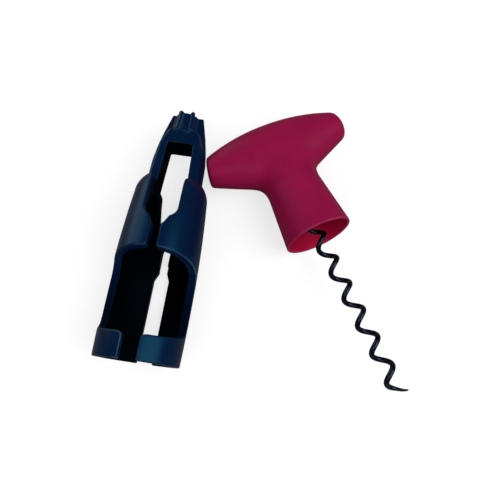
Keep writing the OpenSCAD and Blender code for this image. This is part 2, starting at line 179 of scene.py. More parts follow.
# Places of the frame and the handle
def axes_of(origin, z_axis, x_axis):
    """Matrix from a piece's own millimetres to the row frame in metres: the columns are
    the piece's x, y and z directions there, and origin is where its own nought lies."""
    z = Vector(z_axis).normalized()
    x = Vector(x_axis)
    x = (x - x.dot(z) * z).normalized()
    y = z.cross(x)
    m = Matrix.Identity(4)
    for row in range(3):
        m[row][0] = x[row] * MM
        m[row][1] = y[row] * MM
        m[row][2] = z[row] * MM
        m[row][3] = origin[row]
    return m


joints = {j["name"]: j for j in frame["joints"]}
ring = next(m for m in record["mounts"] if m["name"] == "neck_ring")
left_knuckle = Vector(joints["left_leg_flex"]["pos_m"])
right_knuckle = Vector(joints["right_leg_flex"]["pos_m"])
cage_axis = -Vector(ring["axis"]).normalized()
cage_origin = Vector(ring["pos_m"]) - cage_axis * (BAND_H / 2 * MM)
CAGE = axes_of(cage_origin, cage_axis, right_knuckle - left_knuckle)

turn = joints["handle_turn"]
stem_axis = -Vector(turn["axis"]).normalized()
stem_origin = Vector(turn["pos_m"]) - stem_axis * (TURN_Z * MM)
HANDLE = axes_of(stem_origin, stem_axis, stem_axis.cross(Vector((0, 0, 1))))


# Shape arithmetic: fields are distances, negative inside
def meet(a, b, r):
    """Room inside both a and b, with the edge between their faces rounded to radius r."""
    corner = np.hypot(np.maximum(a + r, 0), np.maximum(b + r, 0))
    return np.minimum(np.maximum(a, b), -r) + corner


def join(a, b, r):
    """Room inside a or b, with a fillet of radius r in the corner between them."""
    corner = np.hypot(np.maximum(r - a, 0), np.maximum(r - b, 0))
    return np.maximum(np.minimum(a, b), r) - corner


def ease(t):
    """Smooth step from 0 to 1: 3t^2 - 2t^3 on the clipped share t."""
    t = np.clip(t, 0, 1)
    return t * t * (3 - 2 * t)


def slope_of(field, points):
    """Slope of a field at points, from its differences over PROBE on both sides."""
    x, y, z = points.T
    return np.stack([
        field(x + PROBE, y, z) - field(x - PROBE, y, z),
        field(x, y + PROBE, z) - field(x, y - PROBE, z),
        field(x, y, z + PROBE) - field(x, y, z - PROBE),
    ], -1) / (2 * PROBE)


def level_net(field, low, high, step):
    """Closed quad mesh of the surface where field(x, y, z) = 0, on a numpy lattice.

    Each cell whose corners differ in sign gets one vertex, at the mean of the points where
    its edges cross the surface. Each lattice edge that crosses the surface gets one quad
    between its four cells. The vertices then go down the field's gradient to the surface:
    p - f grad f / |grad f|^2, a few times.
    """
    ticks = [np.arange(a, b + step, step) for a, b in zip(low, high)]
    x, y, z = np.meshgrid(*ticks, indexing="ij")
    f = field(x, y, z)
    n = np.array(f.shape)
    inside = f < 0
    spots = np.zeros((*(n - 1), 3))
    hits = np.zeros(tuple(n - 1))
    for axis in range(3):
        other = [a for a in range(3) if a != axis]
        lower = [slice(None)] * 3
        upper = [slice(None)] * 3
        lower[axis] = slice(None, -1)
        upper[axis] = slice(1, None)
        f0, f1 = f[tuple(lower)], f[tuple(upper)]
        crossed = (f0 < 0) != (f1 < 0)
        share = np.where(crossed, f0 / np.where(crossed, f0 - f1, 1), 0)
        for i in (0, 1):
            for j in (0, 1):
                part = [slice(None)] * 3
                part[other[0]] = slice(i, n[other[0]] - 1 + i)
                part[other[1]] = slice(j, n[other[1]] - 1 + j)
                c = crossed[tuple(part)]
                hits += c
                spots[..., axis] += np.where(c, share[tuple(part)], 0)
                spots[..., other[0]] += c * i
                spots[..., other[1]] += c * j
    used = hits > 0
    number = np.full(used.shape, -1)
    number[used] = np.arange(used.sum())
    corner = np.argwhere(used)
    start = np.array([t[0] for t in ticks])
    points = (corner + spots[used] / hits[used][:, None]) * step + start
    quads = []
    for axis in range(3):
        u, v = (axis + 1) % 3, (axis + 2) % 3
        lower = [slice(1, -1)] * 3
        upper = [slice(1, -1)] * 3
        lower[axis] = slice(None, -1)
        upper[axis] = slice(1, None)
        i0, i1 = inside[tuple(lower)], inside[tuple(upper)]
        for rising in (True, False):
            at = np.argwhere((i0 & ~i1) if rising else (~i0 & i1))
            at[:, u] += 1
            at[:, v] += 1
            ring4 = []
            for du, dv in ((-1, -1), (0, -1), (0, 0), (-1, 0)):
                cell = at.copy()
                cell[:, u] += du
                cell[:, v] += dv
                ring4.append(number[tuple(cell.T)])
            quad = np.stack(ring4, -1)
            quads.append(quad if rising else quad[:, ::-1])
    return settle(field, points, step), np.concatenate(quads)


def settle(field, points, step, rounds=4):
    """Moves points onto field = 0 along its gradient, at most half a step at a time."""
    for _ in range(rounds):
        f = field(*points.T)
        slope = slope_of(field, points)
        length = np.maximum((slope ** 2).sum(-1), 0.05)
        move = -(f / length)[:, None] * slope
        far = np.linalg.norm(move, axis=1, keepdims=True)
        points = points + move * np.minimum(1, 0.5 * step / np.maximum(far, 1e-9))
    return points


def make_piece(name, points, faces, place):
    """Object from points in own millimetres and lists of corners, placed in its mesh."""
    m = np.array(place)
    world = points @ m[:3, :3].T + m[:3, 3]
    mesh = bpy.data.meshes.new(name)
    mesh.from_pydata(world.tolist(), [], faces)
    mesh.validate()
    mesh.polygons.foreach_set("use_smooth", np.ones(len(mesh.polygons), bool))
    mesh.update()
    piece = bpy.data.objects.new(name, mesh)
    bpy.context.scene.collection.objects.link(piece)
    return piece


def mark_faces(piece, field, points, inner, highlight):
    """Two attributes on the vertices: inner_face, as given, where the inner colour paints shade
    on the frame and light in the handle's skirt, and edge, which is how far the field's slope
    turns within EDGE_PROBE on both sides, times the painted highlight's strength given there.
    Faces that look inwards take the piece's second material, on the frame a duller copy that
    paints shade."""
    def slope(p):
        g = slope_of(field, p)
        return g / np.maximum(np.linalg.norm(g, axis=1, keepdims=True), 1e-9)

    out = slope(points)
    side = np.cross(out, [0.31, 0.57, 0.76])
    side /= np.linalg.norm(side, axis=1, keepdims=True)
    turn = np.cross(out, side)
    bend = np.zeros(len(points))
    for way in (side, turn, (side + turn) / math.sqrt(2), (side - turn) / math.sqrt(2)):
        ahead, behind = slope(points + EDGE_PROBE * way), slope(points - EDGE_PROBE * way)
        bend = np.maximum(bend, ((ahead - behind) * way).sum(1))
    inside = inner(points, out)
    corners = np.zeros(len(piece.data.loops), dtype=np.int32)
    piece.data.loops.foreach_get("vertex_index", corners)
    shaded = inside[corners].reshape(-1, 4).mean(1) > INNER_FROM
    piece.data.polygons.foreach_set("material_index", shaded.astype(np.int32))
    # Painted highlight along the edges, mostly left off the inner faces.
    edge = ease((bend - EDGE_FROM) / EDGE_OVER) * (1 - 0.8 * inside) * highlight(points)
    for name, value in (("inner_face", inside), ("edge", edge)):
        data = piece.data.attributes.new(name, "FLOAT", "POINT")
        data.data.foreach_set("value", np.asarray(value, dtype=np.float32))


def cut_flat(piece, point, normal):
    """Takes off what lies beyond a plane and closes the cut with a flat face."""
    bm = bmesh.new()
    bm.from_mesh(piece.data)
    everything = bm.verts[:] + bm.edges[:] + bm.faces[:]
    bmesh.ops.bisect_plane(bm, geom=everything, dist=1e-7, plane_co=point, plane_no=normal,
                           clear_outer=True)
    rim = [e for e in bm.edges if e.is_boundary]
    made = bmesh.ops.holes_fill(bm, edges=rim, sides=0)["faces"]
    for face in made:
        face.smooth = False
    for edge in rim:
        edge.smooth = False
    bmesh.ops.triangulate(bm, faces=made)
    bmesh.ops.recalc_face_normals(bm, faces=bm.faces[:])
    bm.to_mesh(piece.data)
    bm.free()
    return piece


# The frame's form
def outer_radius(z):
    """Outer radius of the frame: two half parabolas that peak at the belly."""
    low = BELLY_R - (BELLY_R - RING_R) * ((BELLY_Z - z) / BELLY_Z) ** 2
    high = BELLY_R - (BELLY_R - GRIP_R) * ((z - BELLY_Z) / (GRIP_TOP - BELLY_Z)) ** 2
    return np.where(z < BELLY_Z, low, high)


# How far in front of the middle the opening's arch is up at the grips' lower edge
ARCH_END = float(outer_radius(GRIP_Z)) - 0.3


def gap_profile():
    """Half the width between the legs as points (z, half width): wide at the ring, narrow
    between the grips, then on two arcs out to the window, which narrows to its ceiling."""
    neck = GRIP_Z + 0.4
    foot = neck - 1.2 * (GAP_W - SLOT_W)
    lip = SLOT_W / 2 + SLOT_LIP_R
    a = np.radians(np.linspace(180, 112, 8))
    b = np.radians(np.linspace(-62, 0, 14))
    over = CEILING_Z + 30
    half = WINDOW_W / 2
    slant = (half - CEILING_W / 2) * (over - RAIL_FOOT) / (CEILING_Z - RAIL_FOOT)
    z = np.concatenate([[-5, foot - 1, foot, neck],
                        SLOT_TOP - SLOT_LIP_R + SLOT_LIP_R * np.sin(a),
                        SLOT_TOP + WINDOW_CORNER + WINDOW_LIFT + WINDOW_CORNER * np.sin(b),
                        [RAIL_FOOT, over]])
    w = np.concatenate([[GAP_W / 2, GAP_W / 2, GAP_W / 2, SLOT_W / 2],
                        lip + SLOT_LIP_R * np.cos(a),
                        half - WINDOW_CORNER + WINDOW_CORNER * np.cos(b),
                        [half, half - slant]])
    order = np.argsort(z, kind="stable")
    z, w = z[order], w[order]
    fine = np.arange(-4, CEILING_Z + 20, 0.1)
    rough = np.interp(fine, z, w)
    kernel = np.hanning(11)
    return fine, np.convolve(rough, kernel / kernel.sum(), mode="same")


GAP_Z, GAP_HALF = gap_profile()
GAP_SLOPE = np.gradient(GAP_HALF, GAP_Z)


def half_gap(z):
    """Half the width between the legs at height z."""
    return np.interp(z, GAP_Z, GAP_HALF)


def gap_field(x, y, z):
    """Distance into the space between the legs, from the half width and its slope. At the
    back the legs come BACK_REACH closer round the window's foot."""
    back = y > 0
    reach = BACK_REACH * ease((z - GRIP_Z - 7) / 5) * ease((RAIL_FOOT - z) / 14) * back
    z = z + BACK_DROP * ease((SLOT_TOP - 1 - z) / 8) * back
    return (half_gap(z) - reach - x) / np.sqrt(1 + np.interp(z, GAP_Z, GAP_SLOPE) ** 2)


def arch_height(y):
    """Height of the opening's arch, GRIP_Z - drop (1 - t^power), and t, the share of the
    way to the front."""
    t = np.clip(-y / ARCH_END, 0.004, 1)
    return GRIP_Z - ARCH_DROP * (1 - t ** ARCH_POWER), t


def opening_field(y, z):
    """Distance into the front opening: under the arch and over the foot, which is at
    BAND_H + rise (1 - s^power), where s is the share of the way to the front."""
    arch, t = arch_height(y)
    s = np.clip(-y / FOOT_END, 0.004, 1)
    foot = BAND_H + FOOT_RISE * (1 - s ** FOOT_POWER)
    arch_slope = ARCH_DROP * ARCH_POWER * t ** (ARCH_POWER - 1) / ARCH_END
    foot_slope = FOOT_RISE * FOOT_POWER * s ** (FOOT_POWER - 1) / FOOT_END
    under = (arch - z) / np.sqrt(1 + arch_slope ** 2)
    above = (z - foot) / np.sqrt(1 + foot_slope ** 2)
    return join(join(under, above, 0.8), -y - STRIP_REACH, 3.0)


def fin_radius(z):
    """How far the side ribs reach from the axis, from the grips' shoulders to the top."""
    foot, high = RAIL_FOOT_R + SIDE_RIB_H, RAIL_R + SIDE_RIB_H
    return np.interp(z, [RAIL_FOOT, RAIL_FOOT + 6, (RAIL_FOOT + 6 + CEILING_Z) / 2 + 1.6,
                         CEILING_Z, BLOCK_TOP, CROWN_TOP + RIB_RISE],
                     [foot - 0.4, foot - 0.5, high + 1, high, (high + FIN_R) / 2 + 0.6, FIN_R])


def rail_radius(z):
    """Outer radius of the rails and of the shoulder block above them."""
    return np.interp(z, [RAIL_FOOT - 10, RAIL_FOOT, CEILING_Z, BLOCK_TOP, BLOCK_TOP + 8],
                     [RAIL_FOOT_R + 0.8, RAIL_FOOT_R, RAIL_R, BLOCK_R, BLOCK_R - 2.7])


def leg_field(x, y, z):
    """Signed distance, negative inside, of the leg on the +x side, up through the rails.

    The skin is a solid of revolution, closed over by a dome at the grips; a rail with a
    side rib stands on it with a fillet; room for neck and cork, the space between the legs
    and the front opening are taken away, and every edge left is rounded.
    """
    rho = np.hypot(x, y)
    dome = np.hypot(rho - (GRIP_R - SHOULDER_R), z - GRIP_TOP) - SHOULDER_R
    skin = np.where(z < GRIP_TOP, rho - outer_radius(z), dome)
    # front corners of the grips, rounded where they meet the rails
    gap = gap_field(x, y, z)
    corner = meet(gap, z - CORNER_Z, GRIP_CORNER)
    skin = meet(skin, corner, np.where(z < GRIP_Z - 2, 0.5, 1.1))
    rail = meet(rho - rail_radius(z), np.abs(y) - RAIL_D / 2, 0.7)
    rib = meet(x - fin_radius(z), np.abs(y) - SIDE_RIB_W / 2, 0.3)
    rail = join(rail, rib, 0.35)
    rail = np.maximum(rail, RAIL_FOOT - 6 - z)
    form = join(skin, rail, 1.0)
    # rooms inside
    neck = NECK_R + (ROOM_R - NECK_R) * ease((z - BAND_H) / 1.5)
    below = np.maximum(rho - neck, z - GRIP_Z)
    closing = (rho + z - (RAIL_FOOT - 2.4 + WINDOW_W / 2)) / math.sqrt(2)
    above = meet(rho - STOP_R, closing, 3.0)
    room = join(below, above, 0.4)
    wall = meet(form, -room, EDGE_R)
    pattern = meet(gap, opening_field(y, z), np.where(z < 20, 2.6, 1.0))
    wall = meet(wall, pattern, EDGE_R)
    return meet(wall, -z, EDGE_R)


def crown_field(x, y, z):
    """Signed distance of the top moulding: stubs of the rails, the shoulder block and the
    ribbed crown round the worm's bore. The block's front falls back to the crown on an arc."""
    rho = np.hypot(x, y)
    ax = np.abs(x)
    block = meet(rho - rail_radius(z), np.abs(y) - RAIL_D / 2, 0.6)
    block = meet(block, z - BLOCK_TOP, 0.7)
    swell = rho - np.interp(z, [BLOCK_TOP - 5, BLOCK_TOP], [RAIL_D / 2 - 0.05, CROWN_FOOT_R])
    block = join(block, np.maximum(swell, np.abs(z - BLOCK_TOP + 2.5) - 2.5), 0.5)
    taper = (CROWN_FOOT_R - CROWN_R) / (CROWN_TOP - BLOCK_TOP)
    tube = meet(rho - (CROWN_FOOT_R - taper * (z - BLOCK_TOP)), z - CROWN_TOP, 0.4)
    tube = np.maximum(tube, BLOCK_TOP - 1 - z)
    ribs = np.full_like(rho, 50.0)
    wide = RIB_W / 2 + 0.15
    for a in np.radians([60, 120, 240, 300]):
        across = np.abs(-x * math.sin(a) + y * math.cos(a))
        along = x * math.cos(a) + y * math.sin(a)
        reach = CROWN_FOOT_R + RIB_H - taper * (z - BLOCK_TOP)
        rib = meet(along - reach, across - wide, 0.3)
        ribs = np.minimum(ribs, np.maximum(np.maximum(rib, 3 - along), BLOCK_TOP - z))
    fin = meet(ax - fin_radius(z), np.abs(y) - SIDE_RIB_W / 2, 0.3)
    ribs = np.minimum(ribs, np.maximum(fin, 3 - ax))
    ribs = meet(ribs, z - CROWN_TOP - RIB_RISE, 0.45)
    form = join(join(block, tube, 0.8), ribs, 0.35)
    window = meet(ax - half_gap(z), z - CEILING_Z, 0.6)
    form = meet(form, -window, 0.5)
    return meet(form, BORE_R - rho, 0.35)


def painted_shade_of(points, out):
    """Painted shade on the frame: 1 where a face looks at its axis, on the window's ceiling and
    on the ledge inside the grips' lower edge; 0.4 to 0.75 on the strips beside the opening,
    more towards their lower end."""
    x, y, z = points.T
    rho = np.maximum(np.hypot(x, y), 1e-6)
    towards = -(out[:, 0] * x + out[:, 1] * y) / rho
    ceiling = np.where((z > CEILING_Z - 3) & (z < CEILING_Z + 2), -out[:, 2], 0)
    ledge = np.where((np.abs(z - GRIP_Z) < 2) & (rho < ROOM_R + 0.5), -out[:, 2], 0)
    strip = ease(-4 * out[:, 1] - 2) * (y > -5) * (z > BAND_H + 1.2) * (z < 41)
    return np.maximum(ease((np.maximum(np.maximum(towards, ceiling), ledge) - 0.25) / 0.5),
                      strip * (0.4 + 0.35 * ease((36 - z) / 14)))


def highlight_of(side):
    """How strong the painted highlight is along a leg's edges: the grip's lower edge most, on
    the left leg only by its corner; then the edge of the left band, and the rest a little."""
    def highlight(p):
        x, y, z = p.T
        arch, _ = arch_height(y)
        by_grip = ease((2.2 - np.abs(z - arch)) / 1.2) * (y < -0.5)
        if side < 0:
            by_grip = by_grip * ease((8 - x) / 2)
        by_band = ease((BAND_H + 1 - z) / 1.5) * ease((7 - x) / 2) * (y < 0)
        by_band *= 0.8 if side < 0 else 0.3
        return 0.1 + 0.9 * np.maximum(by_grip, by_band)
    return highlight


def highlight_of_top(p):
    """Painted highlight on the top's edges: hardly any on the ribs, more on the window's ceiling and the
    shoulder's right edge.
    """
    x, y, z = p.T
    ceiling = ease((2 - np.abs(z - CEILING_Z)) / 1.0)
    shoulder = ease((x - 2) / 2) * ease((BLOCK_TOP + 0.8 - z) / 0.6)
    shoulder = shoulder * ease((z - CEILING_Z - 2) / 2)
    return 0.06 + 0.5 * np.maximum(ceiling, shoulder) * (y < 0)


def cage_pieces():
    """The frame's moulding as three meshes: the top, and a leg on each side that is cut
    from the same form at CUT_Z."""
    made = []
    points, quads = level_net(leg_field, (0.3, -20.4, -0.9), (20.4, 20.4, CUT_Z + 1.5),
                              LEG_STEP)
    up = cage_axis
    cut = cage_origin + up * (CUT_Z * MM)
    for side, name in ((1, "right_leg_moulding"), (-1, "left_leg_moulding")):
        p = points * np.array([side, 1, 1])
        q = quads if side > 0 else quads[:, ::-1]
        leg = make_piece(name, p, q.tolist(), CAGE)
        mark_faces(leg, leg_field, points, painted_shade_of, highlight_of(side))
        made.append(cut_flat(leg, cut, up))
    points, quads = level_net(crown_field, (-13.2, -8.9, CUT_Z - 1.5),
                              (13.2, 8.9, CROWN_TOP + RIB_RISE + 0.9), CROWN_STEP)
    top = make_piece("crown_moulding", points, quads.tolist(), CAGE)
    mark_faces(top, crown_field, points, painted_shade_of, highlight_of_top)
    return made[0], made[1], cut_flat(top, cut, -up)


# The handle's form
def stem_radius(z):
    """Outer radius of the stem, which tapers from the mouth up to STEM_H."""
    return MOUTH_R - (MOUTH_R - STEM_R) * np.minimum(z / STEM_H, 1)


def handle_field(x, y, z):
    """Scaled distance of the T-handle, negative inside. Stem: x^2 + y^2 = stem radius^2,
    closing over above DOME_Z. Cross bar: |x / end|^BAR_SQUARE + ((z - mid) / half)^2 +
    (y / thickness)^2 = 1. Both run together with a soft maximum."""
    s = 1 - (x * x + y * y) / stem_radius(z) ** 2 - (np.maximum(z - DOME_Z, 0) / DOME_H) ** 2
    top = BAR_TOP - BAR_DROP * (x / BAR_HALF) ** 2
    low = BAR_LOW - BAR_RISE * (BAR_HALF - np.sqrt(x * x + BAR_SADDLE ** 2))
    mid, half = (top + low) / 2, np.maximum((top - low) / 2, 2.0)
    thick = np.maximum(BAR_HALF_T - (BAR_HALF_T - BAR_END_T) * (x / BAR_HALF) ** 2, 4.0)
    end = BAR_HALF - BAR_LEAN * (z - BAR_LOW)
    ends = np.minimum(np.abs(x) / end, 1.1) ** BAR_SQUARE
    b = 1 - ends - ((z - mid) / half) ** 2 - (y / thick) ** 2
    m = np.maximum(s, b)
    body = m + np.log(np.exp(BAR_BLEND * (s - m)) + np.exp(BAR_BLEND * (b - m))) / BAR_BLEND
    return -body


def handle_solid(x, y, z):
    """The T-handle in millimetres of distance: its field over its own slope, with the mouth
    cut at z = 0, its lip rounded, and the skirt's cavity taken out."""
    e = 0.05
    f = handle_field(x, y, z)
    slope = np.sqrt((handle_field(x + e, y, z) - f) ** 2 + (handle_field(x, y + e, z) - f) ** 2
                    + (handle_field(x, y, z + e) - f) ** 2) / e
    body = f / np.maximum(slope, 0.02)
    body = meet(body, -z, LIP_R)
    rho = np.hypot(x, y)
    inner = stem_radius(z) - SKIRT_WALL
    cavity = meet(rho - inner, z - CAVITY_WAIST, 3.0)
    deep = meet(rho - CAVITY_R, z - CAVITY_DEEP, 1.0)
    return meet(body, -join(cavity, deep, 1.5), LIP_R)


def handle_piece():
    """The red moulding, with the faces of its cavity and its edges marked."""
    points, quads = level_net(handle_solid, (-38, -17.2, -0.9), (38, 17.2, 67.6),
                              HANDLE_STEP)
    piece = make_piece("cross_handle", points, quads.tolist(), HANDLE)

    def in_skirt(p, out):
        """1 in the skirt's cavity, where the inner colour paints light."""
        x, y, z = p.T
        rho = np.maximum(np.hypot(x, y), 1e-6)
        towards = -(out[:, 0] * x + out[:, 1] * y) / rho
        return ease((towards - 0.2) / 0.5) * (z < STEM_H + 10)

    def highlight(p):
        """The painted highlight is strongest on the lip."""
        return np.where(p[:, 2] < 2, 0.9, 0.3)

    mark_faces(piece, handle_solid, points, in_skirt, highlight)
    return piece


# The worm
def worm_piece():
    """Wire carried along a helix: (r cos a, r sin a, z) with a = phase + 2 pi z / pitch,
    whose radius runs in to the axis between COIL_TOP and SHANK_Z. Over TIP_STRAIGHT the
    lower end leaves the turn along its tangent and curves up by TIP_LIFT, with the square
    of its length. The wire's own radius falls evenly to its share TIP_BLUNT over
    TIP_TAPER, and to nothing on a round end. Each ring of the profile stands across the
    path, turned so that it doesn't twist from one ring to the next."""
    z = np.concatenate([TIP_ROUND * np.linspace(0, 1, 12) ** 2 - TIP_REACH,
                        np.linspace(TIP_ROUND - TIP_REACH, COIL_TOP, 716)[1:],
                        np.linspace(COIL_TOP, SHANK_Z, 60)[1:],
                        np.linspace(SHANK_Z, SHANK_TOP, 24)[1:]])
    last_turn = TIP_STRAIGHT - TIP_REACH
    a = COIL_PHASE + 2 * np.pi * np.clip(z, last_turn, SHANK_Z) / PITCH
    ahead = 2 * np.pi * np.minimum(z - last_turn, 0) / PITCH
    r = COIL_R * (1 - ease((z - COIL_TOP) / (SHANK_Z - COIL_TOP)))
    path = np.stack([r * (np.cos(a) - ahead * np.sin(a)),
                     r * (np.sin(a) + ahead * np.cos(a)),
                     z + TIP_LIFT * np.minimum((z - last_turn) / TIP_STRAIGHT, 0) ** 2], -1)
    along = np.gradient(path, axis=0)
    along /= np.linalg.norm(along, axis=1, keepdims=True)
    axis = np.stack([np.cos(a), np.sin(a), np.zeros_like(a)], -1)
    across = axis - (axis * along).sum(1, keepdims=True) * along
    across /= np.linalg.norm(across, axis=1, keepdims=True)
    third = np.cross(along, across)
    from_tip = z + TIP_REACH
    wire = WIRE_D / 2 * np.minimum(TIP_BLUNT + (1 - TIP_BLUNT) * from_tip / TIP_TAPER, 1)
    wire *= np.sqrt(np.maximum(1 - (1 - np.minimum(from_tip / TIP_ROUND, 1)) ** 2, 0.005))
    n = 20
    t = np.linspace(0, 2 * np.pi, n, endpoint=False)[None, :, None]
    profile = np.cos(t) * across[:, None] + np.sin(t) * third[:, None]
    rings = path[:, None] + wire[:, None, None] * profile
    points = np.concatenate([rings.reshape(-1, 3), path[:1] - along[:1] * 0.01, path[-1:]])
    j, i = np.meshgrid(np.arange(len(z) - 1), np.arange(n), indexing="ij")
    k = (i + 1) % n
    quads = np.stack([j * n + i, j * n + k, (j + 1) * n + k, (j + 1) * n + i], -1)
    i = np.arange(n)
    k = (i + 1) % n
    last = (len(z) - 1) * n
    tip = np.stack([k, i, np.full(n, len(z) * n)], -1)
    end = np.stack([last + i, last + k, np.full(n, len(z) * n + 1)], -1)
    faces = quads.reshape(-1, 4).tolist() + tip.tolist() + end.tolist()
    return make_piece("worm_wire", points, faces, HANDLE)


# Materials
def moulded_skin():
    """Group for the skin of a moulding: a faint cloudiness of the colour, an inner colour and
    roughness, which paint shade on the frame and light in the handle's skirt, a painted
    highlight along the edges, broken into patches by the clouds, and the height of a fine
    grain."""
    group = bpy.data.node_groups.new("moulded_skin", "ShaderNodeTree")

    def socket(name, way, kind, value=None):
        made = group.interface.new_socket(name=name, in_out=way, socket_type=kind)
        if value is not None:
            made.default_value = value

    socket("Place", "INPUT", "NodeSocketVector")
    socket("Colour", "INPUT", "NodeSocketColor", (0.1, 0.1, 0.1, 1))
    socket("Inner Colour", "INPUT", "NodeSocketColor", (0.05, 0.05, 0.05, 1))
    socket("Edge Colour", "INPUT", "NodeSocketColor", (0.2, 0.2, 0.2, 1))
    socket("Inner", "INPUT", "NodeSocketFloat", 0.0)
    socket("Edge", "INPUT", "NodeSocketFloat", 0.0)
    socket("Roughness", "INPUT", "NodeSocketFloat", 0.4)
    socket("Inner Roughness", "INPUT", "NodeSocketFloat", 0.6)
    socket("Cloud Scale", "INPUT", "NodeSocketFloat", 60.0)
    socket("Grain Scale", "INPUT", "NodeSocketFloat", 2200.0)
    socket("Colour", "OUTPUT", "NodeSocketColor")
    socket("Roughness", "OUTPUT", "NodeSocketFloat")
    socket("Grain", "OUTPUT", "NodeSocketFloat")

    node = group.nodes.new
    link = group.links.new
    given = node("NodeGroupInput")
    out = node("NodeGroupOutput")
    cloud = node("ShaderNodeTexNoise")
    cloud.inputs["Detail"].default_value = 4
    link(given.outputs["Place"], cloud.inputs["Vector"])
    link(given.outputs["Cloud Scale"], cloud.inputs["Scale"])

    def spread(low, high, to_low, to_high):
        """The clouds between low and high, spread over to_low to to_high."""
        made = node("ShaderNodeMapRange")
        for name, value in (("From Min", low), ("From Max", high),
                            ("To Min", to_low), ("To Max", to_high)):
            made.inputs[name].default_value = value
        link(cloud.outputs["Fac"], made.inputs["Value"])
        return made.outputs["Result"]

    def times(a, b):
        made = node("ShaderNodeMath")
        made.operation = "MULTIPLY"
        link(a, made.inputs[0])
        link(b, made.inputs[1])
        return made.outputs[0]

    def blend(factor, a, b, kind="MIX"):
        made = node("ShaderNodeMix")
        made.data_type = "RGBA"
        made.blend_type = kind
        if factor is None:
            made.inputs["Factor"].default_value = 1
        else:
            link(factor, made.inputs["Factor"])
        link(a, made.inputs["A"])
        link(b, made.inputs["B"])
        return made.outputs["Result"]

    shade = spread(0.3, 0.7, 0.9, 1.1)
    # Painted highlight along the edges, in patches of the clouds.
    edge_highlight = times(given.outputs["Edge"], spread(0.4, 0.65, 0.15, 0.7))
    # Inner colour: painted shade on the frame, painted light in the handle's skirt.
    colour = blend(given.outputs["Inner"], given.outputs["Colour"],
                   given.outputs["Inner Colour"])
    colour = blend(edge_highlight, colour, given.outputs["Edge Colour"])
    colour = blend(None, colour, shade, "MULTIPLY")
    link(colour, out.inputs["Colour"])

    rough = node("ShaderNodeMix")
    link(given.outputs["Inner"], rough.inputs["Factor"])
    link(given.outputs["Roughness"], rough.inputs["A"])
    link(given.outputs["Inner Roughness"], rough.inputs["B"])
    link(times(rough.outputs["Result"], shade), out.inputs["Roughness"])

    fine = node("ShaderNodeTexNoise")
    fine.inputs["Detail"].default_value = 2
    link(given.outputs["Place"], fine.inputs["Vector"])
    link(given.outputs["Grain Scale"], fine.inputs["Scale"])
    link(fine.outputs["Fac"], out.inputs["Grain"])
    return group


SKIN = moulded_skin()


def new_material(name):
    """A material with nodes, its tree and its Principled BSDF."""
    material = bpy.data.materials.new(name)
    material.use_nodes = True
    tree = material.node_tree
    return material, tree, tree.nodes["Principled BSDF"]


def moulded(name, colour, rough, shine, tint, grain, grain_scale=2200.0, inner=None,
            inner_rough=0.6, edge=None):
    """Material with the moulded skin: colour and roughness of the outer face, reflectance
    and its tint, depth and fineness of the grain, and on a marked piece the colour of its inner
    faces, painted shade on the frame and painted light in the handle, and the painted
    highlight of its edges."""
    material, tree, shader = new_material(name)
    where = tree.nodes.new("ShaderNodeTexCoord")
    skin = tree.nodes.new("ShaderNodeGroup")
    skin.node_tree = SKIN
    tree.links.new(where.outputs["Object"], skin.inputs["Place"])
    skin.inputs["Colour"].default_value = (*colour, 1)
    skin.inputs["Roughness"].default_value = rough
    skin.inputs["Inner Roughness"].default_value = inner_rough
    skin.inputs["Grain Scale"].default_value = grain_scale
    for mark, socket, paint in (("inner_face", "Inner", inner), ("edge", "Edge", edge)):
        if paint:
            marked = tree.nodes.new("ShaderNodeAttribute")
            marked.attribute_name = mark
            tree.links.new(marked.outputs["Fac"], skin.inputs[socket])
            skin.inputs[socket + " Colour"].default_value = (*paint, 1)
    tree.links.new(skin.outputs["Colour"], shader.inputs["Base Color"])
    tree.links.new(skin.outputs["Roughness"], shader.inputs["Roughness"])
    bump = tree.nodes.new("ShaderNodeBump")
    bump.inputs["Strength"].default_value = grain
    bump.inputs["Distance"].default_value = 0.0002
    tree.links.new(skin.outputs["Grain"], bump.inputs["Height"])
    tree.links.new(bump.outputs["Normal"], shader.inputs["Normal"])
    shader.inputs["Specular IOR Level"].default_value = shine
    shader.inputs["Specular Tint"].default_value = (*tint, 1)
    return material


# Painted shade: the near black of the frame's inner faces, ceiling, ledge and side strips.
NAVY_PAINTED_SHADE = (0.0003, 0.001, 0.003)
RED = (0.35, 0.0065, 0.068)
# Painted light: the skirt's cavity is coloured a brighter red than the outside.
RED_PAINTED_LIGHT = (0.48, 0.005, 0.05)
# Painted highlight on the handle's edges, strongest on the lip.
RED_HIGHLIGHT = (0.5, 0.1, 0.22)
RED_TINT = (1.0, 0.9, 0.95)
# Its edge colour paints a highlight along the edges.
navy = moulded("navy_plastic", (0.001, 0.0095, 0.046), 0.3, 0.34, (0.11, 0.66, 1.0), 0.03,
               inner=NAVY_PAINTED_SHADE, edge=(0.065, 0.17, 0.26))
# A duller copy of the navy plastic with almost no shine, painted shade on the frame's inner faces and side strips.
navy_shaded = moulded("navy_plastic_painted_shade", (0.001, 0.01, 0.045), 0.3, 0.03,
                      (0.2, 0.85, 1.0), 0.03, inner=NAVY_PAINTED_SHADE, edge=(0.004, 0.015, 0.03))
red = moulded("satin_red_plastic", RED, 0.42, 0.1, RED_TINT, 0.05, 1500.0,
              inner=RED_PAINTED_LIGHT, inner_rough=0.5, edge=RED_HIGHLIGHT)
red_inside = moulded("satin_red_plastic_inside", RED, 0.45, 0.08, RED_TINT, 0.05, 1500.0,
                     inner=RED_PAINTED_LIGHT, inner_rough=0.55, edge=RED_HIGHLIGHT)
black = moulded("coated_wire", (0.001, 0.0016, 0.003), 0.1, 0.55, (0.42, 0.56, 1.0), 0.01,
                3000.0)
grey = moulded("hub_plastic", (0.05, 0.05, 0.055), 0.5, 0.4, (1, 1, 1), 0.05)


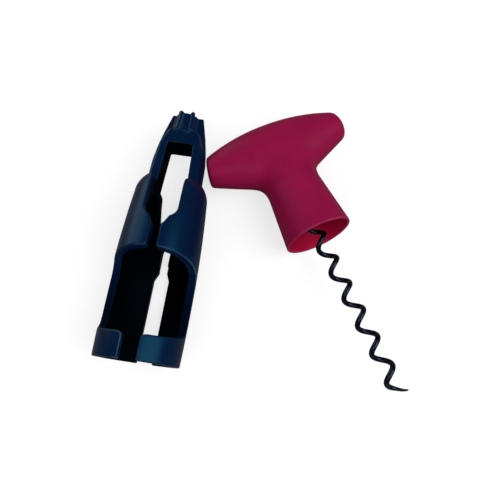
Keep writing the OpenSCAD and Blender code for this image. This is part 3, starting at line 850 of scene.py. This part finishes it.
# Pieces
def dress(piece, *materials):
    """Gives a piece its materials, the outer one first."""
    for material in materials:
        piece.data.materials.append(material)


right_leg, left_leg, top = cage_pieces()
for piece, side in ((right_leg, "right"), (left_leg, "left")):
    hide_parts(f"{side}_rail", f"{side}_grip", f"{side}_shell", f"{side}_band")
    dress(piece, navy, navy_shaded)
    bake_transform(piece)
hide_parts("crown", "shoulder_block")
dress(top, navy, navy_shaded)
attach(top, "frame_top")

handle = handle_piece()
dress(handle, red, red_inside)
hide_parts("handle")
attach(handle, "handle")

worm = worm_piece()
dress(worm, black)
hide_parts("worm")
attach(worm, "handle")

hub = frame["nodes"]["worm_hub"]
hub.data.materials.clear()
hub.data.materials.append(grey)

# Floor, light and camera
scene = bpy.context.scene
scene.view_settings.view_transform = "Standard"


def studio_floor():
    """Large pale floor. For the camera it is near white and glows a little, which keeps
    only a faint shadow; to the object it is grey."""
    half, below = 3.0, 0.00005
    mesh = bpy.data.meshes.new("floor")
    corners = [(-half, -half, 0), (half, -half, 0), (half, half, 0), (-half, half, 0)]
    mesh.from_pydata(corners, [], [(0, 1, 2, 3)])
    floor = bpy.data.objects.new("floor", mesh)
    scene.collection.objects.link(floor)
    floor.location.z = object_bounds()[0].z - below
    material, tree, shader = new_material("pale_floor")
    shader.inputs["Roughness"].default_value = 0.9
    glow = tree.nodes.new("ShaderNodeEmission")
    glow.inputs["Color"].default_value = (1, 1, 1, 1)
    glow.inputs["Strength"].default_value = 1.5
    path = tree.nodes.new("ShaderNodeLightPath")
    share = tree.nodes.new("ShaderNodeMath")
    share.operation = "MULTIPLY"
    share.inputs[1].default_value = 0.46
    tree.links.new(path.outputs["Is Camera Ray"], share.inputs[0])
    paint = tree.nodes.new("ShaderNodeMix")
    paint.data_type = "RGBA"
    paint.inputs["A"].default_value = (0.22, 0.22, 0.22, 1)
    paint.inputs["B"].default_value = (0.95, 0.95, 0.95, 1)
    tree.links.new(path.outputs["Is Camera Ray"], paint.inputs["Factor"])
    tree.links.new(paint.outputs["Result"], shader.inputs["Base Color"])
    mix = tree.nodes.new("ShaderNodeMixShader")
    tree.links.new(share.outputs[0], mix.inputs["Fac"])
    tree.links.new(shader.outputs["BSDF"], mix.inputs[1])
    tree.links.new(glow.outputs["Emission"], mix.inputs[2])
    tree.links.new(mix.outputs["Shader"], tree.nodes["Material Output"].inputs["Surface"])
    floor.data.materials.append(material)


def soft_lamp(name, place, size, power):
    """Round lamp of a given width in metres and power in watts that shines at the origin."""
    data = bpy.data.lights.new(name, "AREA")
    data.shape = "DISK"
    data.size = size
    data.energy = power
    lamp = bpy.data.objects.new(name, data)
    scene.collection.objects.link(lamp)
    lamp.location = place
    lamp.rotation_mode = "QUATERNION"
    lamp.rotation_quaternion = (-Vector(place)).to_track_quat("-Z", "Y")


def studio_world():
    """Even white surroundings: dim on the object, plain white to the camera."""
    world = bpy.data.worlds.new("studio")
    scene.world = world
    world.use_nodes = True
    tree = world.node_tree
    background = tree.nodes["Background"]
    background.inputs["Color"].default_value = (1, 1, 1, 1)
    path = tree.nodes.new("ShaderNodeLightPath")
    level = tree.nodes.new("ShaderNodeMapRange")
    level.inputs["To Min"].default_value = 0.12
    level.inputs["To Max"].default_value = 1.0
    tree.links.new(path.outputs["Is Camera Ray"], level.inputs["Value"])
    tree.links.new(level.outputs["Result"], background.inputs["Strength"])


studio_floor()
soft_lamp("key_lamp", (0.66, -0.14, 0.82), 1.1, 7.2)
soft_lamp("left_lamp", (-0.85, 0.58, 0.28), 1.1, 3.6)
soft_lamp("front_lamp", (-0.2, -0.6, 0.85), 0.8, 2.2)
studio_world()

# The camera's focal length, in pixels of a picture 500 wide, its directions and its place
# were fitted to the photograph. The place goes from the ring's foot, on the table's level.
PICTURE = 500
FOCAL = 423.644
SENSOR = 36
RIGHT = (0.99064, 0.13641, -0.00185)
UPWARD = (-0.12975, 0.9465, 0.29562)
BACK = (0.04211, -0.29264, 0.95535)
SPOT = (cage_origin.x + 0.049459, cage_origin.y - 0.000925, 0.206306)
camera_data = bpy.data.cameras.new("camera")
camera_data.sensor_width = SENSOR
camera_data.lens = SENSOR * FOCAL / PICTURE
camera_data.clip_start = 0.005
camera = bpy.data.objects.new("camera", camera_data)
scene.collection.objects.link(camera)
camera.matrix_world = Matrix((*zip(RIGHT, UPWARD, BACK, SPOT), (0, 0, 0, 1)))
scene.camera = camera

bpy.context.view_layer.update()
